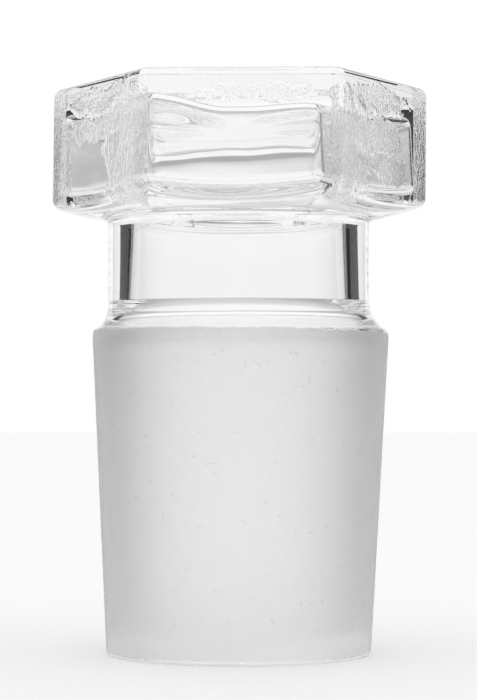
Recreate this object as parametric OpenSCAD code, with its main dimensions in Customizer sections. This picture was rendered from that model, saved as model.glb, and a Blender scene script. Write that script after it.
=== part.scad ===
// Hollow hexagon-head stopper for a 29/32 ground joint: one piece of clear glass, blown in a mould, closed by
// its flat base and ground on the cone. It stands on its small end: the base face is at z = 0, the axis is Z,
// and a flat of the head faces -Y.

/* [Ground taper] */
// Diameter of the ground cone at its large end
taper_large_d = 29.2; // [24:0.1:36]
// Length of the ground cone along the axis
taper_len = 31.6; // [24:0.1:38]
// Axial length over which the cone grows by 1 in diameter
taper_run = 10; // [8, 10, 12]
// Radius of the eased rim round the base face
base_rim_r = 0.4; // [0.2:0.1:0.8]

/* [Shoulder] */
// Height of the clear flare between the ground cone and the neck
shoulder_h = 2.9; // [2:0.1:4]
// Radius of the eased edge at the top of the ground cone
shoulder_edge_r = 0.5; // [0.2:0.1:0.8]
// Radius of the hollow where the flare runs into the neck
neck_foot_r = 1.2; // [0.6:0.1:2]

/* [Neck] */
// Step in from the edge of the ground cone to the neck, in radius
shoulder_step = 1.75; // [1:0.05:3]
// Height of the neck from the top of the flare to the underside of the head
neck_h = 8.1; // [4:0.1:14]
// Radius of the hollow where the neck meets the head
neck_top_r = 0.7; // [0.4:0.1:1.2]

/* [Head] */
// Overhang of each flat of the hexagon beyond the neck
head_overhang = 3.35; // [2.4:0.05:6]
// Height of each face of the hexagon, with its rounded edges
head_h = 12.6; // [9:0.1:18]
// Radius of the edges round the top and bottom of the head
head_edge_r = 1; // [0.5:0.1:1.6]
// Radius of the six upright edges
head_corner_r = 1.2; // [0.6:0.1:2]
// Angle the underside of the head rises by, from the neck outwards
underside_rise = 14; // [5:1:20]

/* [Hollow] */
// Wall of the ground cone and of the neck
wall = 2.1; // [1.4:0.1:3]
// Thickness of the closed base
base_wall = 1.6; // [1:0.1:3]
// Radius inside, where the wall meets the base
base_hollow_r = 1; // [0.5:0.1:2]
// Wall of the six faces of the head
head_wall = 2.2; // [1.6:0.1:3.5]
// Thickness of the glass above the hollow in the head
roof = 3.4; // [2:0.1:5]
// Thickness of the glass between the underside of the head and the hollow, measured upright
shelf = 1.9; // [1.4:0.1:3]
// Radius of the edges round the top and bottom of the hollow in the head
chamber_edge_r = 1; // [0.6:0.1:1.4]
// Radius of the upright corners of the hollow in the head
chamber_corner_r = 1.4; // [1:0.1:4]
// Radius of the lip where the bore of the neck opens into the head
lip_r = 1.3; // [0.8:0.1:2]

/* [Hidden] */
$fn = 96;
taper_large_r = taper_large_d / 2;
taper_small_r = taper_large_r - taper_len / taper_run / 2;
neck_r = taper_large_r - shoulder_step;
shoulder_top = taper_len + shoulder_h;
neck_top = shoulder_top + neck_h;
flat_r = neck_r + head_overhang;
// The conical underside ends where the rounded bottom edge of a face begins.
underside_r = flat_r - head_edge_r;
head_z = neck_top + (underside_r - neck_r) * tan(underside_rise);
core_top = head_z + head_h / 2;
bore_r = neck_r - wall;
chamber_flat_r = flat_r - head_wall;
// The floor of the chamber rises as the underside does, up to where its rounded edge begins.
chamber_r = chamber_flat_r - chamber_edge_r;
chamber_z = neck_top + shelf + (chamber_r - neck_r) * tan(underside_rise);
chamber_h = head_z + head_h - roof - chamber_z;
lip_z = neck_top + shelf + (bore_r - neck_r) * tan(underside_rise);

function unit(v) = v / norm(v);

// The sliver between a corner p of a section and an arc of radius r that touches the lines to q and s.
module corner_sliver(p, q, s, r) {
    u = unit(q - p);
    v = unit(s - p);
    half = acos(u * v) / 2;
    centre = p + unit(u + v) * r / sin(half);
    difference() {
        polygon([p, p + u * r / tan(half), centre, p + v * r / tan(half)]);
        translate(centre) circle(r = r);
    }
}

// Half section of the turned part: ground cone, flare, neck and the conical underside of the head.
module turned_section() {
    rim = [taper_small_r, 0];
    edge = [taper_large_r, taper_len];
    foot = [neck_r, shoulder_top];
    top = [neck_r, neck_top];
    out = [underside_r, head_z];
    difference() {
        union() {
            polygon([[0, 0], rim, edge, foot, top, out, [underside_r, core_top], [0, core_top]]);
            corner_sliver(foot, edge, top, neck_foot_r);
            corner_sliver(top, foot, out, neck_top_r);
        }
        corner_sliver(rim, [0, 0], edge, base_rim_r);
        corner_sliver(edge, rim, foot, shoulder_edge_r);
    }
}

// Half section of the hollow in the cone and the neck, which opens over a rounded lip into the conical floor
// of the chamber in the head.
module bore_section() {
    foot = [taper_small_r + base_wall / taper_run / 2 - wall, base_wall];
    edge = [taper_large_r - wall, taper_len];
    throat = [bore_r, shoulder_top];
    lip = [bore_r, lip_z];
    shelf_end = [chamber_r, chamber_z];
    chamber_mid = chamber_z + chamber_h / 2;
    difference() {
        union() {
            polygon([[0, base_wall], foot, edge, throat, lip, shelf_end, [chamber_r, chamber_mid], [0, chamber_mid]]);
            corner_sliver(throat, edge, lip, neck_foot_r);
            corner_sliver(lip, throat, shelf_end, lip_r);
        }
        corner_sliver(foot, [0, base_wall], edge, base_hollow_r);
        corner_sliver(edge, foot, throat, shoulder_edge_r);
    }
}

// Rectangle with rounded corners, w wide and centred, standing on the X axis.
module rounded_rectangle(w, h, r) {
    translate([-w / 2 + r, 0]) square([w - 2 * r, h]);
    translate([-w / 2, r]) square([w, h - 2 * r]);
    for (x = [-1, 1], y = [r, h - r])
        translate([x * (w / 2 - r), y]) circle(r = r);
}

// Hexagon with its faces at the distance flat from the axis and its six corners rounded.
module rounded_hexagon(flat, r) {
    side = (flat - r) / cos(30);
    for (a = [0 : 60 : 120])
        rotate(a) square([side, 2 * flat], center = true);
    for (a = [0 : 60 : 300])
        rotate(a) translate([side, 0]) circle(r = r);
}

// Hexagonal block: each pair of faces is one slab with rounded edges that runs on past the corners, and a prism
// rounds the upright edges.
module hexagon_block(flat, h, edge_r, upright_r) {
    intersection() {
        intersection_for (a = [0 : 60 : 120])
            rotate(a) translate([-2 * flat, 0, 0]) rotate([90, 0, 90])
                linear_extrude(height = 4 * flat) rounded_rectangle(2 * flat, h, edge_r);
        linear_extrude(height = h) rounded_hexagon(flat, upright_r);
    }
}

// Hexagonal block whose bottom corners are trimmed by a cone that rises outwards, as the underside does.
module coned_block(flat, h, edge_r, upright_r) {
    foot_r = flat - edge_r;
    intersection() {
        hexagon_block(flat, h, edge_r, upright_r);
        cylinder(h = h, r1 = foot_r, r2 = foot_r + h / tan(underside_rise));
    }
}

// The air inside: the bore of the cone and neck, and the hexagonal chamber of the head.
module hollow() {
    rotate_extrude() bore_section();
    translate([0, 0, chamber_z]) coned_block(chamber_flat_r, chamber_h, chamber_edge_r, chamber_corner_r);
}

module stopper() {
    color([0.93, 0.95, 0.95, 0.5]) difference() {
        union() {
            rotate_extrude() turned_section();
            translate([0, 0, head_z]) coned_block(flat_r, head_h, head_edge_r, head_corner_r);
        }
        hollow();
    }
}

stopper();
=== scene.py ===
import math

import bpy
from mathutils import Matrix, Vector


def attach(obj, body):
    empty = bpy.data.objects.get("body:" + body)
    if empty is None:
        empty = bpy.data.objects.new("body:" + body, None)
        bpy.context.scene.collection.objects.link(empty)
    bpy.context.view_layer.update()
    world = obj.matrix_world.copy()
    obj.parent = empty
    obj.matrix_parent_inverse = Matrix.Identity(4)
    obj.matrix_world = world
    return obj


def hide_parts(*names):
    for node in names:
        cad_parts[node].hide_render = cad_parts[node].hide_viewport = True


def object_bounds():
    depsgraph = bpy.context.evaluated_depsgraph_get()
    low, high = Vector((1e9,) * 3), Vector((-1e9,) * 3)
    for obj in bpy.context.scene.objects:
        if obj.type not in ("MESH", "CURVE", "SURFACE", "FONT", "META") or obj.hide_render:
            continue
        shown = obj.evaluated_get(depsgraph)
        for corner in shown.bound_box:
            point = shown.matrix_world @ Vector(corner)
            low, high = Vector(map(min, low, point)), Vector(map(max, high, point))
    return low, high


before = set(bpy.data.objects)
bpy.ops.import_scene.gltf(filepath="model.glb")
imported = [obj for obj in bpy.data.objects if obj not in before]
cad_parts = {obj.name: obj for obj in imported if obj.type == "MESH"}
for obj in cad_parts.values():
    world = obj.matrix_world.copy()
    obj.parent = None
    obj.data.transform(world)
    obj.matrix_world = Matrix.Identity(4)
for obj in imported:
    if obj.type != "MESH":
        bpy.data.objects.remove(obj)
cad_low, cad_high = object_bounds()
scene = bpy.context.scene


# ---- Camera ----------------------------------------------------------------------------------------
# A long lens held low: its eye is level with the upper part of the ground cone, so the head is seen a little
# from below and the base a little from above.
eye_height = 0.0234
eye_distance = 0.238
look_up = math.radians(1.545)

camera_data = bpy.data.cameras.new("camera")
camera_data.lens = 124.0
camera_data.sensor_width = 36
camera = bpy.data.objects.new("camera", camera_data)
scene.collection.objects.link(camera)
camera.location = (-0.00011, -eye_distance, eye_height)
camera.rotation_euler = (math.pi / 2 + look_up, 0, 0)
scene.camera = camera


# ---- Glass stopper ---------------------------------------------------------------------------------
# One hollow piece of clear borosilicate glass. The hexagonal head, the neck and the flare are blown in a mould,
# which leaves chill wrinkles and an uneven wall, the base is melted shut, and the cone is ground to its socket.
head_flat = 0.01620        # from the axis to a face of the head
head_corner = 0.0012       # radius of the six upright edges
head_edge = 0.0010         # radius of the edges round the top and the bottom of the head
head_top = cad_high.z
neck_radius = 0.01285
neck_top = 0.0426
cone_top_radius = 0.0146
cone_top = 0.0316
cone_foot_radius = 0.01302
rim_radius = 0.0004
underside_rise = math.tan(math.radians(14))
chamber_flat = 0.0140      # from the axis to a wall of the hollow in the head
chamber_corner = 0.0010
roof_height = 0.0523       # the ceiling of the hollow
roof_edge = 0.0010
ledge_height = 0.0444      # the floor of the hollow in the head, where it passes over the neck's outer wall
ledge_edge = 0.0010
bore_radius = 0.01065
bore_foot_radius = 0.01088
bore_top = 0.0418
lip_radius = 0.0026
throat_top = 0.0346
throat_foot = 0.0312
throat_edge = 0.0006
throat_foot_radius = 0.0125
base_wall = 0.0016
base_hollow = 0.0010
columns = 480

# The section runs round the glass: from the middle of the base up the outside to the middle of the top, then
# from the middle of the roof down the inside to the middle of the floor. Each station has its radius and
# height, how far it is hexagon and not circle, how deep it lies in a rounded edge of the head, how far it
# follows the conical underside, how far it is shrunk towards the axis, and whether it is inside.
stations = []


def station(radius, height, hexagon=0.0, inset=0.0, hang=0.0, shrink=1.0, inside=0.0):
    stations.append((radius, height, hexagon, inset, hang, shrink, inside))


for share in (0, 0.35, 0.7, 0.9):
    station(share * (cone_foot_radius - rim_radius), 0)
for step in range(6):
    turn = math.radians(87) * step / 5
    station(cone_foot_radius - rim_radius * (1 - math.sin(turn)), rim_radius * (1 - math.cos(turn)))
for share in (0.005, 0.1, 0.25, 0.4, 0.55, 0.7, 0.85, 0.97, 0.99):
    station(cone_foot_radius + (cone_top_radius - cone_foot_radius) * share,
            rim_radius + (cone_top - 0.0003 - rim_radius) * share)
flare_out = cone_top_radius - neck_radius
station(neck_radius + flare_out * 0.96, cone_top - 0.0002)
station(neck_radius + flare_out * 0.95, cone_top - 0.00005)
for step in range(13):
    share = step / 12
    station(neck_radius + flare_out * 0.92 * (1 - share) ** 2.2, cone_top + 0.0001 + 0.0030 * share ** 1.15)
for height in (0.0352, 0.0355, 0.0380, 0.0410, neck_top - 0.0009, neck_top - 0.0007):
    station(neck_radius, height)
for step in range(1, 7):
    turn = math.radians(76) * step / 6
    hollow = 0.0007
    station(neck_radius + hollow * (1 - math.cos(turn)), neck_top - hollow * 0.78 + hollow * math.sin(turn))
for step in range(1, 7):
    station(neck_radius, neck_top, hexagon=step / 7, inset=head_edge * 0.76, hang=1)
for step in range(8):
    turn = math.radians(-76) * (1 - step / 7)
    station(neck_radius, neck_top + head_edge * (1.0306 + math.sin(turn)), hexagon=1,
            inset=head_edge * (1 - math.cos(turn)), hang=2)
side_bottom = neck_top + head_edge * 1.0306
side_top = head_top - head_edge
rows_up = 34
for step in range(1, rows_up):
    share = step / rows_up
    station(neck_radius, side_bottom + (side_top - side_bottom) * share, hexagon=1, hang=2 * (1 - share))
for step in range(9):
    turn = math.radians(90) * step / 8
    station(neck_radius, side_top + head_edge * math.sin(turn), hexagon=1,
            inset=head_edge * (1 - math.cos(turn)))
for step in range(1, 11):
    station(neck_radius, head_top, hexagon=1, inset=head_edge, shrink=1 - step / 10)
outer_rows = len(stations)

for step in range(10):
    station(bore_radius, roof_height, hexagon=1, inset=roof_edge, shrink=step / 10, inside=1)
for step in range(8):
    turn = math.radians(90) * (1 - step / 7)
    station(bore_radius, roof_height - roof_edge * (1 - math.sin(turn)), hexagon=1,
            inset=roof_edge * (1 - math.cos(turn)), inside=1)
wall_foot = ledge_height + ledge_edge * 1.0306
for step in range(1, 18):
    share = step / 18
    station(bore_radius, roof_height - roof_edge + (wall_foot - roof_height + roof_edge) * share,
            hexagon=1, hang=2 * share, inside=1)
for step in range(7):
    turn = math.radians(-76) * step / 6
    station(bore_radius, ledge_height + ledge_edge * (1.0306 + math.sin(turn)), hexagon=1,
            inset=ledge_edge * (1 - math.cos(turn)), hang=2, inside=1)
lip_centre = bore_radius + lip_radius
for step in range(1, 6):
    station(lip_centre - lip_radius * math.cos(math.radians(76)), ledge_height, hexagon=1 - step / 5,
            inset=ledge_edge * 0.76, hang=1, inside=1)
for step in range(1, 9):
    turn = math.radians(76) * (1 - step / 8)
    station(lip_centre - lip_radius * math.cos(turn), bore_top + lip_radius * math.sin(turn), inside=1)
for share in (0.02, 0.1, 0.25, 0.5, 0.75, 0.95, 1):
    station(bore_radius + (bore_foot_radius - bore_radius) * share,
            bore_top - (bore_top - throat_top) * share, inside=1)
throat_turn = math.atan2(throat_foot_radius - bore_foot_radius, throat_top - throat_foot)
for step in range(1, 7):
    turn = throat_turn * step / 6
    station(bore_foot_radius + throat_edge * (1 - math.cos(turn)), throat_top - throat_edge * math.sin(turn),
            inside=1)
bend_radius = bore_foot_radius + throat_edge * (1 - math.cos(throat_turn))
bend_height = throat_top - throat_edge * math.sin(throat_turn)
for share in (0.05, 0.35, 0.65, 0.93):
    station(bend_radius + (throat_foot_radius - bend_radius) * share,
            bend_height + (throat_foot - bend_height) * share,
            inside=1)
for step in range(5):
    station(0.01252 + 0.00003 * step, throat_foot - 0.00008 - 0.00018 * step, inside=1)
floor_radius = cone_foot_radius - 0.00192
for share in (0.01, 0.3, 0.6, 0.9, 0.99):
    station(0.01265 + (floor_radius - 0.01265) * share,
            0.0303 + (base_wall + base_hollow - 0.0303) * share, inside=1)
for step in range(8):
    turn = math.radians(90) * step / 7
    station(floor_radius - base_hollow * (1 - math.cos(turn)), base_wall + base_hollow * (1 - math.sin(turn)),
            inside=1)
for step in range(1, 6):
    station((floor_radius - base_hollow) * (1 - step / 5), base_wall, inside=1)

section_mesh = bpy.data.meshes.new("stopper_section")
section_mesh.from_pydata([(row[0], 0, row[1]) for row in stations],
                         [(i, i + 1) for i in range(len(stations) - 1)], [])
for place, name in enumerate(("hexagon", "inset", "hang", "shrink", "inside"), start=2):
    layer = section_mesh.attributes.new(name, "FLOAT", "POINT")
    layer.data.foreach_set("value", [row[place] for row in stations])
section = bpy.data.objects.new("stopper_section", section_mesh)
scene.collection.objects.link(section)

# The tree carries the section round the axis: each column is one direction, each row one station.
blow = bpy.data.node_groups.new("blow_stopper", "GeometryNodeTree")
blow.interface.new_socket("Section", in_out="INPUT", socket_type="NodeSocketObject")
for name, value in (("Rows", len(stations)), ("Outer Rows", outer_rows), ("Columns", columns)):
    socket = blow.interface.new_socket(name, in_out="INPUT", socket_type="NodeSocketInt")
    socket.default_value = value
for name, value in (("Face Distance", head_flat), ("Corner Radius", head_corner),
                    ("Neck Radius", neck_radius), ("Underside Rise", underside_rise),
                    ("Chamber Distance", chamber_flat), ("Chamber Corner", chamber_corner),
                    ("Chamber Draft", 0.10), ("Chamber Offset", -0.00045),
                    ("Roof Swell", 0.00145), ("Wave Height", 0.00012)):
    socket = blow.interface.new_socket(name, in_out="INPUT", socket_type="NodeSocketFloat")
    socket.default_value = value
blow.interface.new_socket("Glass", in_out="INPUT", socket_type="NodeSocketMaterial")
blow.interface.new_socket("Geometry", in_out="OUTPUT", socket_type="NodeSocketGeometry")
given = blow.nodes.new("NodeGroupInput").outputs


def feed(tree, socket, value):
    if isinstance(value, bpy.types.NodeSocket):
        tree.links.new(value, socket)
    else:
        socket.default_value = value


def calc(tree, operation, *values):
    node = tree.nodes.new("ShaderNodeMath")
    node.operation = operation
    for socket, value in zip(node.inputs, values):
        feed(tree, socket, value)
    return node.outputs[0]


def ramp(tree, value, low, high, low_to=0.0, high_to=1.0):
    node = tree.nodes.new("ShaderNodeMapRange")
    node.interpolation_type = "SMOOTHSTEP"
    for socket, given_value in zip(node.inputs, (value, low, high, low_to, high_to)):
        feed(tree, socket, given_value)
    return node.outputs[0]


def field(operation, *values):
    return calc(blow, operation, *values)


grid = blow.nodes.new("GeometryNodeMeshGrid")
blow.links.new(given["Rows"], grid.inputs["Vertices X"])
blow.links.new(field("ADD", given["Columns"], 1), grid.inputs["Vertices Y"])

index = blow.nodes.new("GeometryNodeInputIndex").outputs[0]
row = field("FLOOR", field("DIVIDE", field("ADD", index, 0.5), field("ADD", given["Columns"], 1)))
column = field("SUBTRACT", index, field("MULTIPLY", row, field("ADD", given["Columns"], 1)))

section_info = blow.nodes.new("GeometryNodeObjectInfo")
blow.links.new(given["Section"], section_info.inputs["Object"])


def read_station(name):
    sample = blow.nodes.new("GeometryNodeSampleIndex")
    blow.links.new(section_info.outputs["Geometry"], sample.inputs["Geometry"])
    if name == "position":
        sample.data_type = "FLOAT_VECTOR"
        blow.links.new(blow.nodes.new("GeometryNodeInputPosition").outputs[0], sample.inputs["Value"])
    else:
        sample.data_type = "FLOAT"
        attribute = blow.nodes.new("GeometryNodeInputNamedAttribute")
        attribute.data_type = "FLOAT"
        attribute.inputs["Name"].default_value = name
        blow.links.new(attribute.outputs["Attribute"], sample.inputs["Value"])
    blow.links.new(row, sample.inputs["Index"])
    return sample.outputs["Value"]


place = blow.nodes.new("ShaderNodeSeparateXYZ")
blow.links.new(read_station("position"), place.inputs[0])
ring_radius = place.outputs[0]
ring_height = place.outputs[2]
hexagon = read_station("hexagon")
inset = read_station("inset")
hang = read_station("hang")
shrink = read_station("shrink")
inside = read_station("inside")


def either(outer_value, inner_value):
    return field("ADD", field("MULTIPLY", outer_value, field("SUBTRACT", 1, inside)),
                 field("MULTIPLY", inner_value, inside))


# Direction of each column: most columns lie on the six faces, and nine are drawn together at each corner.
per_face = field("DIVIDE", given["Columns"], 6)
face_number = field("FLOOR", field("DIVIDE", field("ADD", column, 0.5), per_face))
along = field("SUBTRACT", field("MULTIPLY", field("DIVIDE", field("SUBTRACT", column,
              field("MULTIPLY", face_number, per_face)), per_face), 2), 1)
side = field("SIGN", along)
reach = field("ABSOLUTE", along)
on_face = field("MULTIPLY", field("MINIMUM", reach, 0.9), math.radians(28.0) / 0.9)
on_corner = field("MULTIPLY", field("MAXIMUM", field("SUBTRACT", reach, 0.9), 0), math.radians(2.0) / 0.1)
from_normal = field("ADD", on_face, on_corner)
turn = field("MULTIPLY", from_normal, side)

# Outline of the head in that direction: a flat of the hexagon, or the arc of a rounded corner.
drafted = field("ADD", given["Chamber Distance"], field("MULTIPLY", field("SUBTRACT", 0.0488, ring_height),
                given["Chamber Draft"]))
flat_now = field("SUBTRACT", either(given["Face Distance"], drafted), inset)
corner_now = field("MAXIMUM", field("SUBTRACT", either(given["Corner Radius"], given["Chamber Corner"]), inset),
                   0.00025)
arc_centre = field("DIVIDE", field("SUBTRACT", flat_now, corner_now), math.cos(math.radians(30)))
to_corner = field("SUBTRACT", math.radians(30), from_normal)
across = field("MULTIPLY", arc_centre, field("SINE", to_corner))
arc_root = field("SQRT", field("MAXIMUM", field("SUBTRACT", field("MULTIPLY", corner_now, corner_now),
                 field("MULTIPLY", across, across)), 0))
arc_radius = field("ADD", field("MULTIPLY", arc_centre, field("COSINE", to_corner)), arc_root)
flat_radius = field("DIVIDE", flat_now, field("COSINE", from_normal))
past_flat = field("GREATER_THAN", field("MULTIPLY", flat_now, field("TANGENT", from_normal)),
                  field("MULTIPLY", field("SUBTRACT", flat_now, corner_now), math.tan(math.radians(30))))
head_radius = field("ADD", field("MULTIPLY", flat_radius, field("SUBTRACT", 1, past_flat)),
                    field("MULTIPLY", arc_radius, past_flat))
head_radius = field("MULTIPLY", head_radius, shrink)
radius = field("ADD", field("MULTIPLY", ring_radius, field("SUBTRACT", 1, hexagon)),
               field("MULTIPLY", head_radius, hexagon))

# The underside is a cone, so what hangs from it rises with the distance from the axis.
edge_seat = field("SUBTRACT", field("ADD", head_radius, inset), head_edge)
height_share = field("DIVIDE", hang, 2)
rise_edge = field("MULTIPLY", field("MULTIPLY", field("SUBTRACT", edge_seat, given["Neck Radius"]),
                  given["Underside Rise"]), height_share)
rise_face = field("MULTIPLY", field("MULTIPLY", field("SUBTRACT", radius, given["Neck Radius"]),
                  given["Underside Rise"]), field("MINIMUM", hang, 1))
on_underside = field("COMPARE", hang, 1, 0.0001)
on_underside = field("MULTIPLY", on_underside, field("LESS_THAN", hexagon, 0.99))
rise = field("ADD", field("MULTIPLY", rise_face, on_underside),
             field("MULTIPLY", rise_edge, field("SUBTRACT", 1, on_underside)))
plain_height = field("ADD", ring_height, rise)

# The mould twists the head a little from its foot to its top and tips it a quarter of a degree. The cone was
# ground on its own axis, so it leans and the neck sits a little off it.
head_share = ramp(blow, plain_height, 0.0432, 0.0556)
outer_twist = field("MULTIPLY", field("ADD", field("MULTIPLY", head_share, math.radians(1.65)),
                    math.radians(-1.15)), hexagon)
twist = either(outer_twist, math.radians(-0.3))
direction = field("ADD", field("ADD", field("MULTIPLY", face_number, math.radians(60)), turn),
                  field("ADD", twist, math.radians(-90)))

# The roof is thin where the glass was blown furthest up, at the front corner on the left, and it falls and
# rises a little round the rest of the head.
bearing_now = field("SUBTRACT", direction, field("MULTIPLY", field("ROUND",
                    field("DIVIDE", direction, math.tau)), math.tau))


def swell(middle, reach, amount):
    apart = field("ABSOLUTE", field("SUBTRACT", bearing_now, math.radians(middle)))
    apart = field("MINIMUM", apart, field("SUBTRACT", math.tau, apart))
    return field("MULTIPLY", ramp(blow, apart, 0, math.radians(reach), 1, 0), amount)


lifted = field("ADD", field("ADD", swell(-125, 32, given["Roof Swell"]), swell(180, 40, 0.0008)),
               field("ADD", swell(0, 40, 0.0004), swell(-64, 20, 0.0003)))
lifted = field("MULTIPLY", lifted, field("MULTIPLY", inside, ramp(blow, ring_height, 0.0475, 0.0523)))
lifted = field("MULTIPLY", lifted, ramp(blow, shrink, 0.2, 1.0))
height = field("ADD", plain_height, lifted)

# No tool touched the glass inside, so its inner skin waves.
def wave(scale, seed, length=1.0):
    spot = blow.nodes.new("ShaderNodeCombineXYZ")
    blow.links.new(field("MULTIPLY", field("COSINE", direction), 0.0150 / length), spot.inputs[0])
    blow.links.new(field("MULTIPLY", field("SINE", direction), 0.0150 / length), spot.inputs[1])
    blow.links.new(field("ADD", height, seed), spot.inputs[2])
    noise = blow.nodes.new("ShaderNodeTexNoise")
    noise.inputs["Scale"].default_value = scale
    noise.inputs["Detail"].default_value = 1.0
    blow.links.new(spot.outputs[0], noise.inputs["Vector"])
    return field("SUBTRACT", noise.outputs[0], 0.5)


in_head = ramp(blow, height, 0.0425, 0.0445)
waves = field("ADD", field("MULTIPLY", wave(160, 0), given["Wave Height"]),
              field("MULTIPLY", wave(700, 1, 6), field("MULTIPLY", given["Wave Height"], 0.22)))
waves = field("MULTIPLY", field("MULTIPLY", waves, inside), field("ADD", field("MULTIPLY", in_head, 0.8), 0.2))
waves = field("MULTIPLY", waves, field("MULTIPLY", ramp(blow, shrink, 0, 0.9),
                                       ramp(blow, height, 0.003, 0.006)))
radius = field("ADD", radius, waves)
cone_shift = field("ADD", field("MULTIPLY", height, 0.19 / 31.6), -0.00009)
neck_shift = field("MULTIPLY", ramp(blow, height, 0.0316, 0.0345), -0.00021)
head_shift = field("MULTIPLY", ramp(blow, height, 0.0425, 0.0440), 0.000025)
head_lean = field("MULTIPLY", field("MAXIMUM", field("SUBTRACT", height, 0.0430), 0), 0.17 / 12.8)
cone_shift = field("MINIMUM", cone_shift, 0.0001)
shift = field("ADD", field("ADD", cone_shift, neck_shift), field("ADD", head_shift, head_lean))
shift = field("ADD", shift, field("MULTIPLY", field("MULTIPLY", given["Chamber Offset"], inside), hexagon))
square_up = field("SUBTRACT", 1, field("MULTIPLY", hexagon, 0.0108))
narrow = field("SUBTRACT", 1, field("MULTIPLY", hexagon, 0.0049))
sideways = field("MULTIPLY", field("MULTIPLY", radius, field("COSINE", direction)), narrow)
tip = field("MULTIPLY", field("SUBTRACT", sideways, 0.0185), math.tan(math.radians(0.28)))
tip = field("MULTIPLY", tip, ramp(blow, height, 0.0420, 0.0440))
put = blow.nodes.new("ShaderNodeCombineXYZ")
blow.links.new(field("ADD", sideways, shift), put.inputs[0])
blow.links.new(field("MULTIPLY", field("MULTIPLY", radius, field("SINE", direction)), square_up),
                put.inputs[1])
blow.links.new(field("ADD", height, tip), put.inputs[2])

# The band of the grid between the middle of the top and the middle of the roof is no surface.
trim = blow.nodes.new("GeometryNodeDeleteGeometry")
trim.domain = "FACE"
blow.links.new(grid.outputs["Mesh"], trim.inputs["Geometry"])
face_row = blow.nodes.new("GeometryNodeFieldOnDomain")
face_row.domain = "FACE"
blow.links.new(row, face_row.inputs[0])
blow.links.new(field("COMPARE", face_row.outputs[0], field("SUBTRACT", given["Outer Rows"], 0.5), 0.1),
                trim.inputs["Selection"])
shape = blow.nodes.new("GeometryNodeSetPosition")
blow.links.new(trim.outputs["Geometry"], shape.inputs["Geometry"])
blow.links.new(put.outputs[0], shape.inputs["Position"])
close = blow.nodes.new("GeometryNodeMergeByDistance")
close.inputs["Distance"].default_value = 0.000002
blow.links.new(shape.outputs["Geometry"], close.inputs["Geometry"])
outward = blow.nodes.new("GeometryNodeFlipFaces")
blow.links.new(close.outputs["Geometry"], outward.inputs["Mesh"])
smooth = blow.nodes.new("GeometryNodeSetShadeSmooth")
blow.links.new(outward.outputs["Mesh"], smooth.inputs["Geometry"])
realize = blow.nodes.new("GeometryNodeRealizeInstances")
blow.links.new(smooth.outputs[0], realize.inputs[0])
paint = blow.nodes.new("GeometryNodeSetMaterial")
blow.links.new(realize.outputs[0], paint.inputs["Geometry"])
blow.links.new(given["Glass"], paint.inputs["Material"])
out = blow.nodes.new("NodeGroupOutput")
blow.links.new(paint.outputs[0], out.inputs[0])

# Clear where it was blown, with chill wrinkles in patches on the front half of the head, and finely ground on
# the cone: there the light spreads, and a grain and a few pits show.
glass = bpy.data.materials.new("ground_joint_glass")
glass.use_nodes = True
glass_nodes = glass.node_tree
shader = glass_nodes.nodes["Principled BSDF"]
shader.inputs["Base Color"].default_value = (1, 1, 1, 1)
shader.inputs["Transmission Weight"].default_value = 1.0
shader.inputs["IOR"].default_value = 1.5
where = glass_nodes.nodes.new("ShaderNodeTexCoord").outputs["Object"]
split = glass_nodes.nodes.new("ShaderNodeSeparateXYZ")
glass_nodes.links.new(where, split.inputs[0])


def tone(operation, *values):
    return calc(glass_nodes, operation, *values)


def speckle(scale, detail=2.0):
    node = glass_nodes.nodes.new("ShaderNodeTexNoise")
    glass_nodes.links.new(where, node.inputs["Vector"])
    node.inputs["Scale"].default_value = scale
    node.inputs["Detail"].default_value = detail
    return node.outputs["Fac"]


level = split.outputs[2]
ragged = tone("MULTIPLY", tone("SUBTRACT", speckle(600, 3), 0.5), 0.0006)
ground_top = tone("ADD", tone("ADD", tone("MULTIPLY", split.outputs[0], -0.015), 0.0317), ragged)
from_axis = tone("SQRT", tone("ADD", tone("MULTIPLY", split.outputs[0], split.outputs[0]),
                              tone("MULTIPLY", split.outputs[1], split.outputs[1])))
outside = tone("GREATER_THAN", from_axis, tone("ADD", tone("MULTIPLY", level, 0.05), 0.0123))
ground = tone("MULTIPLY", tone("MULTIPLY", ramp(glass_nodes, tone("SUBTRACT", ground_top, level), 0, 0.0002),
              ramp(glass_nodes, level, 0.0002, 0.0005)), outside)
grain = tone("ADD", tone("MULTIPLY", speckle(9000), 0.5), tone("MULTIPLY", speckle(3500), 0.5))
deep = tone("MULTIPLY", split.outputs[1], -1)
left = tone("LESS_THAN", split.outputs[0], -0.0085)
right = tone("GREATER_THAN", split.outputs[0], 0.0085)
front = tone("GREATER_THAN", deep, 0.0157)
ragged_deep = tone("MULTIPLY", tone("SUBTRACT", speckle(500, 2), 0.5), 0.0050)
ragged_level = tone("MULTIPLY", tone("SUBTRACT", speckle(650, 2), 0.5), 0.0022)


def patch(where_on, across, across_at, across_reach, level_at, level_reach):
    sideways = tone("DIVIDE", tone("SUBTRACT", tone("ADD", across, ragged_deep), across_at), across_reach)
    upright = tone("DIVIDE", tone("SUBTRACT", tone("ADD", level, ragged_level), level_at), level_reach)
    far = tone("ADD", tone("MULTIPLY", sideways, sideways), tone("MULTIPLY", upright, upright))
    return tone("MULTIPLY", ramp(glass_nodes, far, 0.6, 1.3, 1, 0), where_on)


def grain_of(scale, upright):
    stretch = glass_nodes.nodes.new("ShaderNodeMapping")
    stretch.inputs["Scale"].default_value = (1, 1, upright)
    glass_nodes.links.new(where, stretch.inputs["Vector"])
    noise = glass_nodes.nodes.new("ShaderNodeTexNoise")
    glass_nodes.links.new(stretch.outputs[0], noise.inputs["Vector"])
    noise.inputs["Scale"].default_value = scale
    noise.inputs["Detail"].default_value = 3.0
    return noise.outputs["Fac"]


def most(*areas):
    total = areas[0]
    for area in areas[1:]:
        total = tone("MAXIMUM", total, area)
    return total


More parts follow.
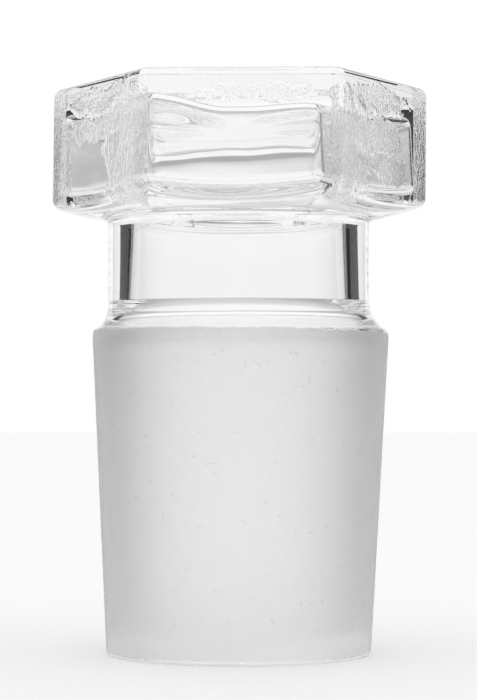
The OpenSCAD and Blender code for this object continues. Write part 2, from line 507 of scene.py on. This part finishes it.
mottled = most(patch(left, deep, 0.0134, 0.0036, 0.0490, 0.0058),
               patch(right, deep, 0.0137, 0.0034, 0.0484, 0.0050))
clumps = most(patch(right, deep, 0.0080, 0.0026, 0.0500, 0.0016),
              patch(right, deep, 0.0054, 0.0011, 0.0467, 0.0011),
              patch(left, deep, 0.0066, 0.0032, 0.0507, 0.0009))
bands = most(patch(left, deep, 0.0098, 0.0056, 0.0533, 0.0013),
             patch(right, deep, 0.0100, 0.0060, 0.0533, 0.0013),
             tone("MULTIPLY", patch(front, split.outputs[0], 0.0014, 0.0056, 0.0532, 0.0007), 0.55))
rims = tone("MULTIPLY", tone("LESS_THAN", tone("ABSOLUTE", deep), 0.0028),
            tone("GREATER_THAN", tone("ABSOLUTE", split.outputs[0]), 0.0158))
rims = tone("MULTIPLY", rims, tone("MULTIPLY", ramp(glass_nodes, level, 0.0436, 0.0446),
                                   ramp(glass_nodes, level, 0.0545, 0.0552, 1, 0)))
streaks = grain_of(2600, 0.35)
flecks = grain_of(3000, 0.6)
relief = glass_nodes.nodes.new("ShaderNodeBump")
relief.inputs["Strength"].default_value = 1.0
relief.inputs["Distance"].default_value = 0.00028
raised = tone("ADD", tone("MULTIPLY", streaks, mottled), tone("MULTIPLY", flecks, most(bands, clumps, rims)))
pits = ramp(glass_nodes, speckle(1500, 0), 0.78, 0.84, 0, -0.25)
cut = tone("ADD", tone("MULTIPLY", speckle(4200, 1), 0.16), pits)
raised = tone("ADD", raised, tone("MULTIPLY", cut, ground))
glass_nodes.links.new(raised, relief.inputs["Height"])
glass_nodes.links.new(relief.outputs[0], shader.inputs["Normal"])
roughness = tone("MULTIPLY", ground, tone("ADD", tone("MULTIPLY", grain, 0.30), 0.44))
glass_nodes.links.new(roughness, shader.inputs["Roughness"])

stopper = bpy.data.objects.new("blowing", bpy.data.meshes.new("blowing"))
scene.collection.objects.link(stopper)
blowing = stopper.modifiers.new("blow", "NODES")
blowing.node_group = blow
sockets = {item.name: item.identifier for item in blow.interface.items_tree if item.in_out == "INPUT"}
blowing[sockets["Section"]] = section
blowing[sockets["Glass"]] = glass
for item in blow.interface.items_tree:
    if item.in_out == "INPUT" and item.name not in ("Section", "Glass"):
        blowing[item.identifier] = item.default_value
depsgraph = bpy.context.evaluated_depsgraph_get()
blown = bpy.data.meshes.new_from_object(stopper.evaluated_get(depsgraph))
stopper.modifiers.clear()
stopper.data = blown
stopper.name = "glass_stopper"
blown.name = "glass_stopper"
bpy.data.objects.remove(section)

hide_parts("stopper")
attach(stopper, "root")


# ---- Floor -----------------------------------------------------------------------------------------
# A wide, plain, matt white table. It keeps the soft shadow, and it is lifted nearly to white for the camera
# and, by the same amount, for whatever shows in or through the glass.
table = bpy.data.meshes.new("table")
table.from_pydata([(-3, -3, 0), (3, -3, 0), (3, 3, 0), (-3, 3, 0)], [], [(0, 1, 2, 3)])
floor = bpy.data.objects.new("table", table)
scene.collection.objects.link(floor)
white = bpy.data.materials.new("matt_white_table")
white.use_nodes = True
paper = white.node_tree
matt = paper.nodes["Principled BSDF"]
matt.inputs["Roughness"].default_value = 0.9
matt.inputs["Specular IOR Level"].default_value = 0.0
matt.inputs["Base Color"].default_value = (0.9, 0.9, 0.9, 1)
matt.inputs["Emission Color"].default_value = (1, 1, 1, 1)
seen = paper.nodes.new("ShaderNodeLightPath")
table_lift = 0.27
looked_at = calc(paper, "MAXIMUM", seen.outputs["Is Camera Ray"],
                 calc(paper, "MAXIMUM", seen.outputs["Is Glossy Ray"], seen.outputs["Is Transmission Ray"]))
paper.links.new(calc(paper, "MULTIPLY", looked_at, table_lift), matt.inputs["Emission Strength"])
table.materials.append(white)


# ---- Light -----------------------------------------------------------------------------------------
# A studio for clear glass, the same for every ray: a white backdrop behind the stopper, a black flag on each
# side of it that draws the edges of the glass, a grey room beyond, and a large soft light overhead.
room = bpy.data.worlds.new("glass_studio")
scene.world = room
room.use_nodes = True
air = room.node_tree
sky = air.nodes["Background"]
sky.inputs["Color"].default_value = (1, 1, 1, 1)
looking = air.nodes.new("ShaderNodeTexCoord").outputs["Generated"]
ways = air.nodes.new("ShaderNodeSeparateXYZ")
air.links.new(looking, ways.inputs[0])


def light(operation, *values):
    return calc(air, operation, *values)


bearing = light("ARCTAN2", ways.outputs[0], ways.outputs[1])
upward = ways.outputs[2]
room_level = 0.30
flag_level = 0.025
backdrop = light("MULTIPLY", ramp(air, bearing, math.radians(-34), math.radians(-32)),
                 ramp(air, bearing, math.radians(29), math.radians(31), 1, 0))
falloff = light("MULTIPLY", ramp(air, upward, 0.175, 0.24, 1, 0.70), ramp(air, upward, 0.24, 0.36, 1, 0.60))
grey_room = ramp(air, light("ABSOLUTE", bearing), math.radians(74), math.radians(82), 0, room_level)
overhead = ramp(air, upward, 0.50, 0.62)
brightest = light("MAXIMUM", light("MULTIPLY", backdrop, falloff), light("MAXIMUM", grey_room, overhead))
air.links.new(light("MAXIMUM", brightest, flag_level), sky.inputs["Strength"])

scene.view_settings.view_transform = "Standard"
# Light crosses many walls in a hollow glass head.
scene.cycles.max_bounces = 32
scene.cycles.transmission_bounces = 32
scene.cycles.glossy_bounces = 24
